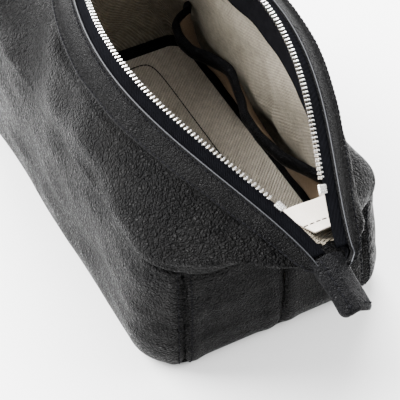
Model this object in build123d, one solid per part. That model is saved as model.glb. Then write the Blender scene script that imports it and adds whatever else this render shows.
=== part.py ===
from build123d import *
import math
import os

# Toiletry bag in pebbled leather: a boxed base, side panels that lean in to an open zipped mouth,
# a folded leather tab at each end of the zip, and a canvas lining with a slip pocket.
# Millimetres. X runs along the zip, Y across the bag, Z up. The origin is the centre of the footprint on the floor.

# Leather body
base_length = 225.0
base_width = 130.0
corner_radius = 22.0
box_height = 78.0
belly = 3.0
belly_height = 34.0
foot_inset = 2.5
leather = 1.8
lining = 0.8
seam_gap = 0.3
end_seam_half_width = 50.0

# Mouth and zip
mouth_half_length = 160.0
mouth_half_width = 42.0
crest_height = 130.0
crest_drop = 28.0
crest_reach = 155.0
run_half_gap = 3.4
run_length = 30.0
run_setback = 6.0
tape_width = 5.0
tape_rise = 3.5
tape_thickness = 0.8
band_lean = 8.5
band_drop = 9.0
band_lean_at_tip = 4.0
band_drop_at_tip = 4.0
nose = 4.0

# Teeth, stops and slider
tooth_pitch = 2.4
tooth_length = 1.2
tooth_reach = 2.0
tooth_height = 2.2
stop_length = 5.5
stop_distance = 30.0
bottom_stop_length = 4.0
slider_length = 11.0
slider_width = 9.6
slider_plate = 1.0
slider_clearance = 0.4
slider_travel = 12.0
post_width = 1.6
post_length = 3.0
crown_length = 6.0
crown_width = 2.4
crown_height = 3.4
crown_wall = 1.0
puller_length = 24.0
puller_width = 6.0
puller_end_width = 9.0
puller_thickness = 1.2
puller_slot_length = 5.0
thong_length = 38.0
thong_width = 9.0
thong_thickness = 2.4
rivet_radius = 2.0
rivet_head = 0.6

# Tabs
tab_length = 38.0
tab_width = 20.0
tab_thickness = 5.0
tab_droop = 8.0
tab_cover = 1.6

# Inside
stiffener = 1.5
stiffener_margin = 6.0
trim_width = 6.0
trim_height = 3.0
pocket_half_length = 84.0
pocket_bottom = 10.0
pocket_top = 50.0
pocket_sheet = 1.0
pocket_gape = 16.0
binding_height = 7.0
binding_lip = 1.6
cloth_gap = 0.3
facing_width = 36.0
facing_length = 9.0
facing_thickness = 1.2
facing_reach = 9.0
facing_angle = 45.0

run_start = -(mouth_half_length - run_setback)
run_end = run_start + run_length
half_gap = seam_gap / 2
far = 400.0


def crest(x):
    """The height of the teeth: a shallow arch along the zip, straight beside the parked slider."""
    if x < run_end:
        slope = -2 * crest_drop * run_end / crest_reach**2
        return crest_height - crest_drop * (run_end / crest_reach) ** 2 + slope * (x - run_end)
    return crest_height - crest_drop * (x / crest_reach) ** 2


def opening(x, x_end):
    """How far the mouth has opened at x: 0 along the parallel run and at the tip, 1 in the middle."""
    s = (x - run_end) / (x_end - run_end)
    return math.sin(math.pi * min(1.0, max(0.0, s))) ** 1.25


def tape_edge(x, x_end, inset):
    w = opening(x, x_end)
    return run_half_gap + (mouth_half_width - run_half_gap) * w, crest(x)


def rim(x, x_end, inset):
    """The edge of the band that carries the zip tape."""
    w = opening(x, x_end)
    y, z = tape_edge(x, x_end, 0)
    return y + tape_width - inset, z - tape_thickness / 2 - tape_rise * w


def band_foot(x, x_end, inset):
    """The stitched edge where the band meets the side panel."""
    w = opening(x, x_end)
    y, z = rim(x, x_end, 0)
    lean = band_lean_at_tip + (band_lean - band_lean_at_tip) * w
    drop = band_drop_at_tip + (band_drop - band_drop_at_tip) * w
    lift = 0.6 * inset * (x / mouth_half_length) ** 4
    return y + lean - inset, z - drop + lift


def curve_through(rule, x_start, x_end, inset, shift=0.0):
    """The front long edge of a mouth ring: straight along the run, then a smooth arch to the tip."""

    def at(x):
        y, z = rule(x, x_end, inset)
        return (x, -y, z + shift)

    points = [at(run_end + (x_end - run_end) * k / 12) for k in range(13)]
    return Line(at(x_start), at(run_end)), Spline(points)


def mouth_ring(rule, half_length, inset):
    """The front half of a ring round the mouth, as six edges from the -X end to the +X end."""
    length = half_length - inset
    straight, arch = curve_through(rule, -length + nose, length - nose, inset)
    a = straight @ 0
    b = arch @ 1
    a_nose = (-length, a.Y + nose, a.Z)
    b_nose = (length, b.Y + nose, b.Z)
    return [
        Line((-length, -half_gap, a.Z), a_nose),
        Line(a_nose, a),
        straight,
        arch,
        Line(b, b_nose),
        Line(b_nose, (length, -half_gap, b.Z)),
    ]


def box_ring(z, half_x, half_y, radius):
    """The front half of a rounded rectangle, as six edges from the -X end to the +X end."""
    fx = half_x - radius
    fy = half_y - radius
    station = -0.75 * fx
    bow = radius * (1 - math.sqrt(0.5))
    return [
        Line((-half_x, -half_gap, z), (-half_x, -fy, z)),
        ThreePointArc((-half_x, -fy, z), (-half_x + bow, -half_y + bow, z), (-fx, -half_y, z)),
        Line((-fx, -half_y, z), (station, -half_y, z)),
        Line((station, -half_y, z), (fx, -half_y, z)),
        ThreePointArc((fx, -half_y, z), (half_x - bow, -half_y + bow, z), (half_x, -fy, z)),
        Line((half_x, -fy, z), (half_x, -half_gap, z)),
    ]


def between(a, b):
    return Face.make_surface_from_curves(Edge(a.wrapped), Edge(b.wrapped))


def polygon(points):
    return Face(Wire.make_polygon(points, close=True))


def skin(outer, inner):
    """A solid sheet between two stacks of matching rings."""
    faces = []
    for stack in (outer, inner):
        for low, high in zip(stack[:-1], stack[1:]):
            faces += [between(a, b) for a, b in zip(low, high)]
    for low, high in ((outer[0], inner[0]), (outer[-1], inner[-1])):
        faces += [between(a, b) for a, b in zip(low, high)]
    faces.append(polygon([r[0] @ 0 for r in outer] + [r[0] @ 0 for r in reversed(inner)]))
    faces.append(polygon([r[-1] @ 1 for r in outer] + [r[-1] @ 1 for r in reversed(inner)]))
    solid = Solid(Shell(faces))
    return solid if solid.volume > 0 else Solid(Shell([-f for f in faces]))


def box_rings(inset, floor):
    half_x = base_length / 2 - inset
    half_y = base_width / 2 - inset
    radius = corner_radius - inset
    return [
        box_ring(floor, half_x - foot_inset, half_y - foot_inset, radius),
        box_ring(belly_height, half_x + belly, half_y + belly, radius + belly),
        box_ring(box_height, half_x, half_y, radius),
    ]


def body_rings(inset, floor):
    return box_rings(inset, floor) + [mouth_ring(band_foot, mouth_half_length - nose, inset)]


def slab(x0, x1, y0, y1, z0, z1):
    return Pos((x0 + x1) / 2, (y0 + y1) / 2, (z0 + z1) / 2) * Box(x1 - x0, y1 - y0, z1 - z0)


def to_back(shape):
    return mirror(shape, about=Plane.XZ)


def end_window(side, margin):
    """The space at the front half of one end, from the floor to the top seam of the end panel."""
    inner_x = base_length / 2 - corner_radius
    x0, x1 = (inner_x, far) if side > 0 else (-far, -inner_x)
    return slab(x0, x1, -end_seam_half_width - margin, 0, -1, box_height)


def leather_panels():
    wall = skin(body_rings(0, 0), body_rings(leather, 0))
    front = wall - end_window(1, seam_gap) - end_window(-1, seam_gap)
    right = wall & end_window(1, 0)
    left = wall & end_window(-1, 0)
    return {
        "side_panel_front": front,
        "side_panel_back": to_back(front),
        "end_panel_right_front": right,
        "end_panel_right_back": to_back(right),
        "end_panel_left_front": left,
        "end_panel_left_back": to_back(left),
    }


def plate(inset, z0, z1):
    half_x = base_length / 2 - foot_inset - inset
    half_y = base_width / 2 - foot_inset - inset
    shape = RectangleRounded(2 * half_x, 2 * half_y, corner_radius - inset)
    return Pos(0, 0, z0) * extrude(shape, z1 - z0)


base_inset = leather + seam_gap
board_top = leather + stiffener
lining_floor = board_top + lining


def base_pieces():
    ring_inset = leather + lining + seam_gap
    ring_top = lining_floor + trim_height
    ring = plate(ring_inset, lining_floor, ring_top) - plate(ring_inset + trim_width, 0, ring_top + 1)
    return {
        "base_panel": plate(base_inset, 0, leather),
        "base_stiffener": plate(base_inset + stiffener_margin, leather, board_top),
        "lining_base": plate(base_inset, board_top, lining_floor),
        "base_trim": ring,
    }


def linings():
    """The canvas behind the leather, in two halves that meet at the ends."""
    front = skin(body_rings(leather, lining_floor), body_rings(leather + lining, lining_floor))
    return {"lining_front": front, "lining_back": to_back(front)}


def bands():
    half = mouth_half_length
    outer = [mouth_ring(band_foot, half - nose, 0), mouth_ring(rim, half, 0)]
    inner = [mouth_ring(band_foot, half - nose, leather), mouth_ring(rim, half, leather)]
    front = skin(outer, inner)
    return {"zip_band_front": front, "zip_band_back": to_back(front)}


tape_tip = mouth_half_length - nose - 4.0


def tape_seat(x, x_end, inset):
    y, z = rim(x, x_end, 0)
    return y - 0.4, z + tape_thickness / 2 + 0.15


def tapes():
    def ring(rule, shift):
        return list(curve_through(rule, run_start, tape_tip, 0, shift))

    up = tape_thickness / 2
    outer = [ring(tape_seat, up), ring(tape_edge, up)]
    inner = [ring(tape_seat, -up), ring(tape_edge, -up)]
    front = skin(outer, inner)
    return {"zip_tape_front": front, "zip_tape_back": to_back(front)}


def chain():
    """The inner edge of the front tape: the straight run and the arch."""
    return curve_through(tape_edge, run_start, tape_tip, 0)


def on_chain(solid, curve, distance):
    point = curve.position_at(distance, position_mode=PositionMode.LENGTH)
    tangent = curve.tangent_at(distance, position_mode=PositionMode.LENGTH)
    across = Vector(-tangent.Y, tangent.X, 0).normalized()
    frame = Plane(origin=point, x_dir=tangent, z_dir=tangent.cross(across))
    return frame.location * solid


def tooth_block(length, reach, height):
    """A metal block against the edge of the tape, reaching over the mouth."""
    return Pos(0, reach / 2 + 0.02, 0) * Box(length, reach, height)


def teeth():
    straight, arch = chain()
    block = tooth_block(tooth_length, tooth_reach, tooth_height)
    solids = []
    first = bottom_stop_length + tooth_pitch
    for k in range(int((straight.length - first) / tooth_pitch) + 1):
        solids.append(on_chain(block, straight, first + k * tooth_pitch))
    usable = arch.length - stop_distance - stop_length
    for k in range(int(usable / tooth_pitch)):
        solids.append(on_chain(block, arch, (k + 0.5) * tooth_pitch))
    return Compound(children=solids)


def top_stop():
    arch = chain()[1]
    return on_chain(tooth_block(stop_length, tooth_reach, tooth_height + 0.6), arch, arch.length - stop_distance)


def run_plane(distance):
    """A frame centred on the parallel run, at a distance from the start of the tape."""
    straight = chain()[0]
    direction = (straight % 0.5)
    point = straight.position_at(distance, position_mode=PositionMode.LENGTH)
    return Plane(origin=(point.X, 0, point.Z), x_dir=direction, z_dir=direction.cross(Vector(0, 1, 0)))


slider_station = bottom_stop_length + 0.8 + slider_length / 2
channel = tooth_height / 2 + slider_clearance
slider_top = channel + slider_plate
slot = tape_thickness / 2 + slider_clearance


def bottom_stop():
    width = 2 * (run_half_gap - 0.02)
    block = Pos(bottom_stop_length / 2, 0, 0) * Box(bottom_stop_length, width, tooth_height + 0.6)
    return run_plane(0).location * block


def slider_body():
    """Two plates joined by a post that runs between the two rows of teeth, with lips over the tapes."""
    plates = None
    for side in (-1, 1):
        sheet = Pos(0, 0, side * (channel + slider_plate / 2)) * extrude(
            RectangleRounded(slider_length, slider_width, 2.5), slider_plate / 2, both=True
        )
        plates = sheet if plates is None else plates + sheet
        for edge in (-1, 1):
            lip = slider_width / 2 - run_half_gap - slider_clearance
            y = edge * (slider_width / 2 - lip / 2)
            height = channel - slot
            z = side * (slot + height / 2)
            plates += Pos(0, y, z) * Box(slider_length - 5.0, lip, height)
    post = Pos(slider_length / 2 - post_length / 2 - 1, 0, 0) * Box(post_length, post_width, 2 * channel)
    return run_plane(slider_station).location * (plates + post)


def slider_bridge():
    """The arch on top of the slider that holds the puller."""
    outer = Pos(0, 0, slider_top + crown_height / 2) * Box(crown_length, crown_width, crown_height)
    hole_height = crown_height - crown_wall
    hole = Pos(0, 0, slider_top + hole_height / 2) * Box(
        crown_length - 2 * crown_wall, crown_width + 2, hole_height
    )
    return run_plane(slider_station).location * (outer - hole)


puller_axis = run_plane(slider_station).location * Pos(0, 0, slider_top + (crown_height - crown_wall) / 2)


def puller_frame():
    """The rest position of the puller: laid back along the tab."""
    centre = puller_axis.position
    return Pos(centre.X, centre.Y, centre.Z) * Rot(0, -tab_droop, 0)


def puller():
    """A tapered tag with an eye for the bridge and an eye for the leather pull."""
    r = puller_thickness / 2
    length = puller_length
    outline = Polygon(
        (r, -puller_width / 2),
        (-length + r, -puller_end_width / 2),
        (-length + r, puller_end_width / 2),
        (r, puller_width / 2),
        align=None,
    )
    arm = 1.3
    near = slab(-r - puller_slot_length, -r, -puller_width / 2 + arm, puller_width / 2 - arm, -2, 2)
    eye = puller_end_width / 2 - arm - 0.6
    tip = -length + 3 * r
    distant = slab(tip, tip + puller_slot_length, -eye, eye, -2, 2)
    tag = extrude(outline, r, both=True) - near - distant
    return puller_frame() * tag


def pull_axis():
    return puller_frame() * Pos(-puller_length + puller_thickness, 0, 0)


loop_outer = 2.0
loop_inner = 1.1


def leather_pull():
    """A leather strip folded round the end bar of the puller."""
    eye = puller_end_width / 2 - 1.3 - 0.6
    loop_width = 2 * (eye - 0.4)
    ring = Rot(90, 0, 0) * (Cylinder(loop_outer, loop_width) - Cylinder(loop_inner, loop_width + 2))
    half = thong_thickness / 2
    neck_end = -loop_outer - 2.0
    neck = slab(neck_end, -loop_inner - 0.2, -loop_width / 2, loop_width / 2, -half, half)
    paddle = slab(-thong_length, neck_end, -thong_width / 2, thong_width / 2, -half, half)
    paddle = fillet(paddle.edges().filter_by(Axis.Z).group_by(Axis.X)[0], 3.0)
    return pull_axis() * (ring + neck + paddle)


def pull_rivet():
    half = thong_thickness / 2
    cap = Cylinder(rivet_radius, rivet_head)
    x = -loop_outer - 7.0
    top = Pos(x, 0, half + rivet_head / 2) * cap
    return pull_axis() * (top + Pos(x, 0, -half - rivet_head / 2) * cap)


def tab(side):
    """A folded leather end tab that grips the noses of the bands and the ends of the tapes."""
    root_x = mouth_half_length - run_setback
    root_z = crest(-root_x) if side < 0 else crest(root_x)
    block = slab(0, tab_length, -tab_width / 2, tab_width / 2, -tab_thickness + tab_cover, tab_cover)
    block = fillet(block.edges().filter_by(Axis.Z).group_by(Axis.X)[-1], 4.0)
    block = Rot(0, tab_droop, 0) * block
    if side < 0:
        block = mirror(block, about=Plane.YZ)
    return Pos(side * root_x, 0, root_z) * block


def end_tab(side, things):
    piece = tab(side)
    for thing in things:
        piece = piece - thing
    return max(piece.solids(), key=lambda s: s.volume)


def wall_y(z):
    """The inner face of the lining on the back wall, at height z."""
    inner = base_width / 2 - leather - lining
    if z < belly_height:
        share = (z - lining_floor) / (belly_height - lining_floor)
        return inner - foot_inset + share * (foot_inset + belly)
    return inner + belly * (1 - (z - belly_height) / (box_height - belly_height))


def pocket():
    """A slip pocket on the back wall, sewn to the lining along its bottom and ends and gaping at the top."""
    stations = [-1.0, -0.75, -0.4, 0.0, 0.4, 0.75, 1.0]
    sheet_top = pocket_top - binding_height

    def section(s, levels, lip):
        x = s * pocket_half_length
        gape = pocket_gape * (1 - s * s)
        front = []
        back = []
        for z in levels:
            share = (z - pocket_bottom) / (pocket_top - pocket_bottom)
            y = wall_y(z) - cloth_gap - gape * share
            front.append((x, y - pocket_sheet - lip, z))
            back.append((x, y, z))
        return Wire.make_polygon(front + back[::-1], close=True)

    low = [pocket_bottom, belly_height, sheet_top]
    sheet = Solid.make_loft([section(s, low, 0) for s in stations], ruled=True)
    high = [sheet_top, pocket_top]
    binding = Solid.make_loft([section(s, high, binding_lip) for s in stations], ruled=True)
    return {"pocket_panel": sheet, "pocket_binding": binding}


def end_facing():
    """A pale leather facing sewn across the lining where the mouth ends, its free edge tipped up."""
    half_length = base_length / 2
    nose_x = mouth_half_length - nose
    tip_z = crest(nose_x) - tape_thickness / 2 - band_drop_at_tip
    slope = (tip_z - box_height) / (nose_x - half_length)
    x = half_length + facing_reach
    z = box_height + slope * facing_reach + leather + lining + cloth_gap - 0.2
    plate = slab(-facing_length, 0, -facing_width / 2, facing_width / 2, 0, facing_thickness)
    return Pos(x, 0, z) * Rot(0, facing_angle, 0) * plate


if __name__ == "__main__":
    os.makedirs("parts", exist_ok=True)
    nodes = {}
    nodes.update(leather_panels())
    nodes.update(base_pieces())
    nodes.update(linings())
    nodes.update(bands())
    nodes.update(tapes())
    nodes["zip_teeth_front"] = teeth()
    nodes["zip_teeth_back"] = to_back(nodes["zip_teeth_front"])
    nodes["top_stop_front"] = top_stop()
    nodes["top_stop_back"] = to_back(nodes["top_stop_front"])
    nodes["bottom_stop"] = bottom_stop()
    nodes["slider_body"] = slider_body()
    nodes["slider_bridge"] = slider_bridge()
    nodes["puller"] = puller()
    nodes["leather_pull"] = leather_pull()
    nodes["pull_rivet"] = pull_rivet()
    mouth = ["zip_band_front", "zip_band_back", "zip_tape_front", "zip_tape_back"]
    mouth += ["side_panel_front", "side_panel_back", "lining_front", "lining_back", "bottom_stop"]
    things = [nodes[name] for name in mouth]
    nodes["end_tab_right"] = end_tab(1, things)
    nodes["end_tab_left"] = end_tab(-1, things)
    nodes.update(pocket())
    nodes["end_facing"] = end_facing()
    for name, shape in nodes.items():
        export_step(shape, f"parts/{name}.step")
        print(name, len(shape.solids()), round(shape.volume))
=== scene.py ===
# %% [markdown]
# An open toiletry bag in pebbled black leather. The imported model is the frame: it says where each
# piece is and which body it moves with. This lesson gives each piece the shape and finish of the real one.
# Sizes are millimetres while a piece is worked out, and become metres when its mesh is made.

# %% Load the frame
import math
import bmesh
import bpy
import numpy as np
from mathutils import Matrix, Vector


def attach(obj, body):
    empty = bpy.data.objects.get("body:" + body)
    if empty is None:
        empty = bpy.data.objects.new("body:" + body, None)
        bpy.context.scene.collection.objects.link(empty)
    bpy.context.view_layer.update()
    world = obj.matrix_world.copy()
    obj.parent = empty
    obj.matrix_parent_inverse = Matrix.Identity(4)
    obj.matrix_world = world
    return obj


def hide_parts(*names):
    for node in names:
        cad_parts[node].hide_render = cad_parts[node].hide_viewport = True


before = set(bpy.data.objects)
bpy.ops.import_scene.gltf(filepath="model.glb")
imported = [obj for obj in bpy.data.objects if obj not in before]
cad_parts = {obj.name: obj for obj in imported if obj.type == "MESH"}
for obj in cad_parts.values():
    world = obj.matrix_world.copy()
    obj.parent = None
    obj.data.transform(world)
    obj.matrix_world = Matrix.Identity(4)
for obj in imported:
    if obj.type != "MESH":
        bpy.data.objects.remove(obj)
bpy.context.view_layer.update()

# %% [markdown]
# The bag follows one rule. Rings run round it: the foot, the belly, the seam on top of the end panels,
# the foot of the zip band, the rim of the band and the edge of the tape. A point on a ring is known by
# its edge, 0 to 5, and its share of the way along that edge. Only the front half is worked out, from
# the -X end to the +X end. The back half is its mirror, with its own small wrinkles. The mouth's length
# and width are measured from the middle, so they are halves.

# %% Sizes of the bag
BASE_LENGTH, BASE_WIDTH, CORNER = 225.0, 130.0, 22.0
BOX_TOP, BELLY, BELLY_Z, FOOT_INSET = 78.0, 3.0, 34.0, 2.5
LEATHER, LINING = 1.8, 0.8
MOUTH_LENGTH, MOUTH_WIDTH = 160.0, 42.0
RUN_GAP, RUN_END, NOSE = 3.4, -124.0, 4.0
TAPE_WIDTH, TAPE_RISE, TAPE_THICK = 5.0, 3.5, 0.8
LEAN, DROP, TIP_LEAN, TIP_DROP = 10.5, 8.5, 5.0, 4.0
HEM_IN, HEM_END_DROP, HEM_DROP = 2.5, 4.0, 21.0
CREST_TOP, CREST_FALL, CREST_REACH = 130.0, 28.0, 155.0
SEAM_HALF_WIDTH = 49.3
MEETING_Y = -0.1  # the front half stops this far from the middle, and the back half mirrors it


def crest(x):
    """Height of the teeth along the zip: an arch, with a straight run at the closed end."""
    x = np.asarray(x, float)
    arch = CREST_TOP - CREST_FALL * (x / CREST_REACH) ** 2
    slope = -2 * CREST_FALL * RUN_END / CREST_REACH**2
    start = CREST_TOP - CREST_FALL * (RUN_END / CREST_REACH) ** 2
    return np.where(x < RUN_END, start + slope * (x - RUN_END), arch)


def opening(x, x_end):
    """How far the mouth is open, from 0 at its two ends to 1 half way."""
    s = np.clip((np.asarray(x, float) - RUN_END) / (x_end - RUN_END), 0, 1)
    return np.sin(np.pi * s) ** 1.25


def tape_edge(x, x_end):
    return RUN_GAP + (MOUTH_WIDTH - RUN_GAP) * opening(x, x_end), crest(x)


def rim(x, x_end):
    w = opening(x, x_end)
    y, z = tape_edge(x, x_end)
    return y + TAPE_WIDTH, z - TAPE_THICK / 2 - TAPE_RISE * w


def band_foot(x, x_end):
    w = opening(x, x_end) ** 0.3
    y, z = rim(x, x_end)
    return y + TIP_LEAN + (LEAN - TIP_LEAN) * w, z - TIP_DROP - (DROP - TIP_DROP) * w


def hem(x, x_end):
    """Where the black strip inside the mouth ends and the canvas begins."""
    w = opening(x, x_end)
    y, z = rim(x, x_end)
    return y - HEM_IN * w, z - HEM_END_DROP - (HEM_DROP - HEM_END_DROP) * w


def mouth_point(rule, half_length, edge, t):
    """A point of a ring round the mouth, front half."""
    x0, x1 = -half_length + NOSE, half_length - NOSE
    t = np.asarray(t, float)
    if edge == 2:
        x = x0 + (RUN_END - x0) * t
        y, z = rule(x, x1)
    elif edge == 3:
        x = RUN_END + (x1 - RUN_END) * t
        y, z = rule(x, x1)
    else:
        x_in = x0 if edge < 2 else x1
        y_in, z_in = rule(np.array([x_in]), x1)
        y_in, z_in = float(y_in[0]), float(z_in[0])
        side = -1.0 if edge < 2 else 1.0
        run = t if edge < 2 else 1 - t
        if edge in (0, 5):
            x = np.full_like(t, side * half_length)
            y = (y_in - NOSE) * run
        else:
            x = side * (half_length - NOSE * run)
            y = y_in - NOSE + NOSE * run
        z = np.full_like(t, z_in)
    return np.stack([x, -y, z], -1)


def box_point(z, grow, edge, t):
    """A point of a rounded rectangle that stands grow outside the base outline, front half."""
    hx, hy, r = BASE_LENGTH / 2 + grow, BASE_WIDTH / 2 + grow, CORNER + max(grow, -CORNER + 1)
    fx, fy = hx - r, hy - r
    t = np.asarray(t, float)
    station = -0.75 * (BASE_LENGTH / 2 - CORNER)
    if edge == 0:
        x, y = np.full_like(t, -hx), fy * t
    elif edge == 1:
        x, y = -fx - r * np.cos(t * np.pi / 2), fy + r * np.sin(t * np.pi / 2)
    elif edge == 2:
        x, y = -fx + (station + fx) * t, np.full_like(t, hy)
    elif edge == 3:
        x, y = station + (fx - station) * t, np.full_like(t, hy)
    elif edge == 4:
        x, y = fx + r * np.sin(t * np.pi / 2), fy + r * np.cos(t * np.pi / 2)
    else:
        x, y = np.full_like(t, hx), fy * (1 - t)
    return np.stack([x, -y, np.full_like(t, z)], -1)


SEAM_T = math.asin((SEAM_HALF_WIDTH - (BASE_WIDTH / 2 - CORNER)) / CORNER) / (math.pi / 2)
COUNTS = [26, 30, 16, 110, 40, 40]  # points along each of the six edges
U_EDGE, U_T = [], []
for edge, count in enumerate(COUNTS):
    stops = [0.0, 1.0]
    if edge == 1:
        stops = [0.0, SEAM_T, 1.0]
    if edge == 4:
        stops = [0.0, 1 - SEAM_T, 1.0]
    for a, b in zip(stops[:-1], stops[1:]):
        n = max(6, int(count * (b - a)))
        for k in range(n):
            U_EDGE.append(edge)
            U_T.append(a + (b - a) * k / n)
U_EDGE.append(5)
U_T.append(1.0)
U_EDGE, U_T = np.array(U_EDGE), np.array(U_T)
U_COUNT = len(U_T)
SEAM_LEFT = int(np.where((U_EDGE == 1) & (np.abs(U_T - SEAM_T) < 1e-9))[0][0])
SEAM_RIGHT = int(np.where((U_EDGE == 4) & (np.abs(U_T - 1 + SEAM_T) < 1e-9))[0][0])


def ring(maker):
    out = np.zeros((U_COUNT, 3))
    for e in range(6):
        pick = U_EDGE == e
        out[pick] = maker(e, U_T[pick])
    return out


def box_ring(z, grow):
    return ring(lambda e, t: box_point(z, grow, e, t))


def mouth_ring(rule, half_length):
    return ring(lambda e, t: mouth_point(rule, half_length, e, t))


print("points round half a ring", U_COUNT, "seams at", SEAM_LEFT, SEAM_RIGHT)

# %% [markdown]
# Mesh helpers. A sheet of leather or cloth is a grid of points. Its back is the same grid moved inwards
# by the thickness, and a row of faces closes every edge, so each piece is one closed shell.

# %% Mesh helpers
rng = np.random.default_rng(7)
WAVES = [(rng.normal(size=3), rng.uniform(0, 6.283), k) for k in range(24)]


def ripple(p, size, seed=0):
    """Smooth uneven relief between about -1 and 1, whose bumps are about size mm long."""
    total = np.zeros(p.shape[:-1])
    for direction, phase, k in WAVES:
        d = direction / np.linalg.norm(direction)
        freq = 6.283 / size * (0.6 + 0.8 * ((k * 7 + seed * 3) % 10) / 10)
        total += np.sin((p @ d) * freq + phase + seed * 1.7 * (k + 1))
    return total / 6.0


def normals(grid):
    """Unit normals of a grid of points, from the directions along its two ways."""
    du = np.gradient(grid, axis=0)
    dv = np.gradient(grid, axis=1)
    n = np.cross(du, dv)
    return n / np.maximum(np.linalg.norm(n, axis=-1, keepdims=True), 1e-9)


def bell(x, centre, width):
    return np.exp(-(((x - centre) / width) ** 2))


def smooth(x, low, high):
    s = np.clip((x - low) / (high - low), 0, 1)
    return s * s * (3 - 2 * s)


def new_object(name, vertices, faces, finish):
    mesh = bpy.data.meshes.new(name)
    mesh.from_pydata((np.asarray(vertices) * 0.001).tolist(), [], faces)
    mesh.validate()
    mesh.update()
    mesh.materials.append(finish)
    obj = bpy.data.objects.new(name, mesh)
    bpy.context.collection.objects.link(obj)
    mesh.shade_smooth()
    return obj


def outwards(obj):
    """Turns every face of a closed shell outwards."""
    bm = bmesh.new()
    bm.from_mesh(obj.data)
    bmesh.ops.remove_doubles(bm, verts=bm.verts, dist=1e-6)
    bmesh.ops.recalc_face_normals(bm, faces=bm.faces)
    bm.to_mesh(obj.data)
    bm.free()
    return obj


def shell(name, front, back, finish):
    """A closed shell between two grids of the same size."""
    nu, nv = front.shape[:2]
    index = np.arange(nu * nv).reshape(nu, nv)
    off = nu * nv
    a, b, c, d = index[:-1, :-1], index[1:, :-1], index[1:, 1:], index[:-1, 1:]
    quads = np.stack([a, b, c, d], -1).reshape(-1, 4)
    faces = quads.tolist() + (quads[:, ::-1] + off).tolist()
    edge_loop = list(index[:, 0]) + list(index[-1, 1:])
    edge_loop += list(index[-2::-1, -1]) + list(index[0, -2:0:-1])
    for p, q in zip(edge_loop, edge_loop[1:] + edge_loop[:1]):
        faces.append([int(q), int(p), int(p) + off, int(q) + off])
    vertices = np.concatenate([front.reshape(-1, 3), back.reshape(-1, 3)])
    return outwards(new_object(name, vertices, faces, finish))


def closed_tube(name, grid, finish):
    """A tube through a grid whose second way runs round it, with a face over each end."""
    nu, nv = grid.shape[:2]
    index = np.arange(nu * nv).reshape(nu, nv)
    faces = []
    for j in range(nv):
        k = (j + 1) % nv
        faces += np.stack([index[:-1, j], index[1:, j], index[1:, k], index[:-1, k]], -1).tolist()
    faces.append(index[0].tolist())
    faces.append(index[-1][::-1].tolist())
    return outwards(new_object(name, grid.reshape(-1, 3), faces, finish))


def back_half(grid):
    return grid * np.array([1.0, -1.0, 1.0])


def back_lean(x):
    """How far the back wall leans in, as a share of its distance from the middle."""
    return 0.19 - 0.115 * smooth(x, 55.0, 100.0)


def settled(grid):
    """The way the bag stands: the front wall leans out a little and the back wall leans in."""
    out = np.array(grid, float)
    x, z = out[..., 0], out[..., 2]
    back = smooth(z, 0.0, 45.0) * (1 - smooth(z, 92.0, 116.0)) * back_lean(x)
    near_corner = 0.13 * smooth(x, 20.0, 70.0) + 0.13 * smooth(x, 60.0, 95.0)
    back = back + near_corner * bell(z, 94.0, 9.5)
    front = 0.115 * (1 - smooth(z, 70.0, 108.0))
    out[..., 1] *= np.where(out[..., 1] > 0, 1 - back, 1 + front)
    return out


def finish_piece(obj, body, slot, *nodes):
    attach(obj, body)
    if nodes:
        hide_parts(*nodes)
    tris = sum(len(p.vertices) - 2 for p in obj.data.polygons)
    print(obj.name, "triangles", tris)
    return obj


# %% [markdown]
# Finishes. Pebbled leather is a layer of small rounded cells of uneven size with fine creases between
# them. It is made as a shader group, so that the body, the bands and the tabs can share it at their own
# strength. The group gives only a height and a mask, and each material keeps its own shader.

# %% Shader groups
def group(name, inputs, outputs):
    tree = bpy.data.node_groups.new(name, "ShaderNodeTree")
    for label, kind, value in inputs:
        socket = tree.interface.new_socket(name=label, in_out="INPUT", socket_type=kind)
        if value is not None:
            socket.default_value = value
    for label, kind in outputs:
        tree.interface.new_socket(name=label, in_out="OUTPUT", socket_type=kind)
    return tree, tree.nodes.new("NodeGroupInput"), tree.nodes.new("NodeGroupOutput")


def math_node(tree, operation, a, b=None, clamp=False):
    node = tree.nodes.new("ShaderNodeMath")
    node.operation = operation
    node.use_clamp = clamp
    for k, value in enumerate((a, b)):
        if value is None:
            continue
        if isinstance(value, (int, float)):
            node.inputs[k].default_value = value
        else:
            tree.links.new(value, node.inputs[k])
    return node.outputs[0]


def scaled_place(tree, place, factor):
    node = tree.nodes.new("ShaderNodeVectorMath")
    node.operation = "SCALE"
    tree.links.new(place, node.inputs[0])
    tree.links.new(factor, node.inputs["Scale"])
    return node.outputs[0]


def noise_node(tree, place, scale, detail=3.0, rough=0.5):
    node = tree.nodes.new("ShaderNodeTexNoise")
    tree.links.new(place, node.inputs["Vector"])
    node.inputs["Scale"].default_value = scale
    node.inputs["Detail"].default_value = detail
    node.inputs["Roughness"].default_value = rough
    return node.outputs["Fac"]


def cell_edges(tree, place, wander, detail, reach, cells, width, ease):
    """Cells whose outlines wander, as a value that rises from 0 on an edge to 1 inside a cell."""
    noise = tree.nodes.new("ShaderNodeTexNoise")
    tree.links.new(place, noise.inputs["Vector"])
    noise.inputs["Scale"].default_value = wander
    noise.inputs["Detail"].default_value = detail
    bend = tree.nodes.new("ShaderNodeVectorMath")
    bend.operation = "MULTIPLY_ADD"
    tree.links.new(noise.outputs["Color"], bend.inputs[0])
    bend.inputs[1].default_value = (reach, reach, reach)
    tree.links.new(place, bend.inputs[2])
    voronoi = tree.nodes.new("ShaderNodeTexVoronoi")
    voronoi.feature = "DISTANCE_TO_EDGE"
    tree.links.new(bend.outputs[0], voronoi.inputs["Vector"])
    tree.links.new(cells, voronoi.inputs["Scale"])
    ramp = tree.nodes.new("ShaderNodeMapRange")
    ramp.interpolation_type = ease
    tree.links.new(voronoi.outputs["Distance"], ramp.inputs["Value"])
    ramp.inputs["From Min"].default_value = 0.0
    ramp.inputs["From Max"].default_value = width
    return ramp.outputs["Result"]


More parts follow.
